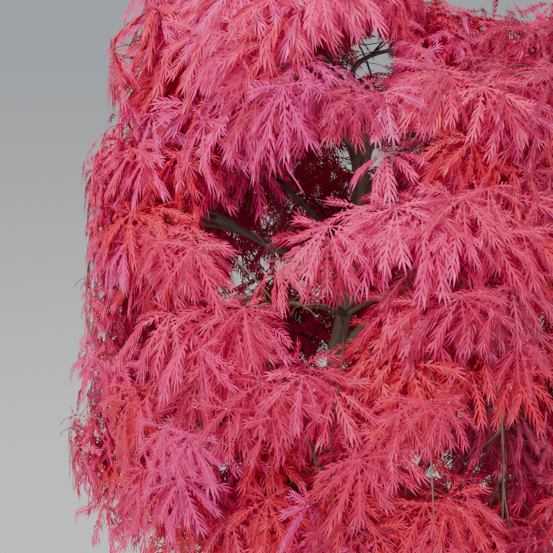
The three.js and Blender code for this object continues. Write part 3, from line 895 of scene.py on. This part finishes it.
# The tip colours are paler and pinker than the blade: partly the leaves' own pale tips, partly painted sheen
# of the sky on their outer parts.
for tint, blade, rib, tip_and_sheen_tone in TINTS:
    for zone, colour in (("rib", rib), ("blade", blade), ("tip", tip_and_sheen_tone)):
        leaf_materials.append(plain(
            f"{tint} leaf {zone}", colour, 0.48, Specular_IOR_Level=0.3))
spray_height = (shoot_end[:, 2] - cad_low[2]) / (cad_high[2] - cad_low[2])
mass_centre = np.array([mass_points[m].mean(axis=0) for m in masses])
spray_outer = ((shoot_end - mass_centre[shoot_mass]) * shoot_out).sum(axis=1) / 0.08
# The score grows with height, with how far out a spray reaches and towards the left, so it puts painted shade
# and glow low, inside and right, and painted sheen high, outside and left.
shade_to_sheen_score = 0.9 * spray_height + 0.35 * spray_outer - 0.5 * (shoot_end[:, 0] / 0.3)
shade_to_sheen_score = shade_to_sheen_score + rng.normal(size=len(shoots)) * 0.45
order = shade_to_sheen_score.argsort().argsort() / len(shade_to_sheen_score)
SHADE_TO_SHEEN_TINTS = [  # from low, inner, right-hand sprays to high, outer, left-hand ones
    "wine", "crimson", "scarlet", "crimson", "scarlet", "coral",
    "carmine", "crimson", "rose", "pink", "magenta", "rose",
]
STRAY = 0.22  # share of leaves that have the tint of the next spray
tint_names = [t[0] for t in TINTS]
spray_tint = np.array([tint_names.index(SHADE_TO_SHEEN_TINTS[int(o * len(SHADE_TO_SHEEN_TINTS))]) for o in order])
next_tint = spray_tint[(bud_spray + 1) % len(shoots)]
leaf_tint = np.where(rng.random(count) < STRAY, next_tint, spray_tint[bud_spray])

LEAF_PIECES = [
    ("top", [("top", 1, 1), ("crest", 1, 3), ("shoulder", 1, 1)]),
    ("upper_right", [("upper", 1, 4)]),
    ("upper_left", [("upper", 5, 7)]),
    ("middle_right", [("middle", 1, 4)]),
    ("middle_left", [("middle", 5, 8)]),
    ("skirt_right", [("skirt", 1, 5)]),
    ("skirt_left", [("skirt", 6, 9)]),
]
for part_name, spans in LEAF_PIECES:
    names = [f"foliage_{tier}_{k}" for tier, first, last in spans for k in range(first, last + 1)]
    mine = np.isin(shoot_mass[bud_spray], [masses.index(n) for n in names]) & keep
    parts = []
    for kind, (local, faces, zones) in enumerate(LEAF_SHAPES):
        rows = np.flatnonzero(mine & (leaf_kind == kind))
        if len(rows) == 0:
            continue
        shape = placed(kind, rows)
        numbers = faces[None] + np.arange(len(rows))[:, None, None] * len(local)
        pick = leaf_tint[rows][:, None] * 3 + zones[None]
        parts.append((shape.reshape(-1, 3), numbers.reshape(-1, 3), pick.reshape(-1)))
    points, faces, pick = joined(parts)
    new_piece(f"leaves_{part_name}", "foliage", points, faces, leaf_materials, pick,
              smooth=False, stands_for=names)

# The twigs and the leaf stalks. Young wood is olive to wine-coloured, and the stalks are red.
olive = plain("olive twig", (0.190, 0.170, 0.080), 0.55)
wine_wood = plain("wine twig", (0.110, 0.035, 0.030), 0.5)
grey_wood = plain("grey twig", (0.300, 0.250, 0.215), 0.7)
stalk_red = plain("red stalk", (0.42, 0.025, 0.035), 0.45)
leader_stack = np.stack([leaders[m] for m in masses])
twig_parts = []
for part_lines, part_radii, sides, tone_share in (
        (leader_stack[..., :3], leader_stack[..., 3], 8, (0.7, 0.15)),
        (whip_lines, whip_radii, 6, (0.3, 0.1)),
        (shoot_lines, shoot_radii, 5, (0.5, 0.4)),
        (twiglet_lines, twiglet_radii, 4, (0.25, 0.7))):
    points, faces, _ = tubes(part_lines, part_radii, sides)
    draw = rng.random(len(part_lines))
    tone = np.where(draw < tone_share[0], 0, np.where(draw < sum(tone_share), 1, 2))
    twig_parts.append((points, faces, tone.repeat(len(faces) // len(part_lines))))
points, faces, pick = joined(twig_parts)
new_piece("twigs", "bark", points, faces, [olive, wine_wood, grey_wood], pick)
STALK_RADIUS, PIP_RADIUS = 0.00055, 0.0008
points, faces, _ = tubes(stalk_lines[keep], np.full((int(keep.sum()), 4), STALK_RADIUS), 3)
pip_lines = np.stack([joint - stalk_way * 0.0012, joint + leaf_ahead * 0.0014], 1)[keep]
pips, pip_faces, _ = tubes(pip_lines, np.full((len(pip_lines), 2), PIP_RADIUS), 4)
stalk_pick = np.repeat([0, 1], [len(faces), len(pip_faces)])
points, faces = joined([(points, faces), (pips, pip_faces)])
leaf_base = plain("pale leaf base", (0.72, 0.20, 0.25), 0.5)
new_piece("leaf_stalks", "foliage", points, faces, [stalk_red, leaf_base], stalk_pick)

# ---------------------------------------------------------------- floor, light and camera
# A plain pale floor, and soft light from an open sky with a brighter patch to the front left and
# a cooler one to the right. The camera stands close in front of the crown and looks a little down.
floor_tone = plain("pale floor", (0.72, 0.71, 0.69), 0.9)
floor_mesh = bpy.data.meshes.new("floor")
floor_mesh.from_pydata([(-30, -30, 0), (30, -30, 0), (30, 30, 0), (-30, 30, 0)], [], [(0, 1, 2, 3)])
floor_mesh.materials.append(floor_tone)
floor = bpy.data.objects.new("floor", floor_mesh)
bpy.context.scene.collection.objects.link(floor)

world = bpy.data.worlds.new("sky")
world.use_nodes = True
world.node_tree.nodes["Background"].inputs["Color"].default_value = (0.86, 0.92, 1.0, 1)
world.node_tree.nodes["Background"].inputs["Strength"].default_value = 0.62
bpy.context.scene.world = world


def area_light(name, place, aim, size, power, colour):
    """A square lamp at place that faces aim."""
    lamp = bpy.data.lights.new(name, "AREA")
    lamp.size = size
    lamp.energy = power
    lamp.color = colour
    made = bpy.data.objects.new(name, lamp)
    made.location = place
    made.rotation_euler = (Vector(aim) - Vector(place)).to_track_quat("-Z", "Y").to_euler()
    bpy.context.scene.collection.objects.link(made)


area_light("sky patch", (-0.9, -1.5, 2.6), (0, 0, 0.6), 1.6, 84, (1.0, 0.98, 0.96))
area_light("side sky", (1.9, -0.6, 1.7), (0, 0, 0.6), 1.2, 20, (0.93, 0.96, 1.0))

camera_data = bpy.data.cameras.new("camera")
HALF_VIEW = 11.65  # degrees
LOOK_DOWN = 15  # degrees
SENSOR = 36
camera_data.sensor_width = SENSOR
camera_data.lens = SENSOR / 2 / math.tan(math.radians(HALF_VIEW))
camera = bpy.data.objects.new("camera", camera_data)
camera.location = eye
camera.rotation_euler = (math.radians(90 - LOOK_DOWN), 0, 0)
bpy.context.scene.collection.objects.link(camera)
bpy.context.scene.camera = camera
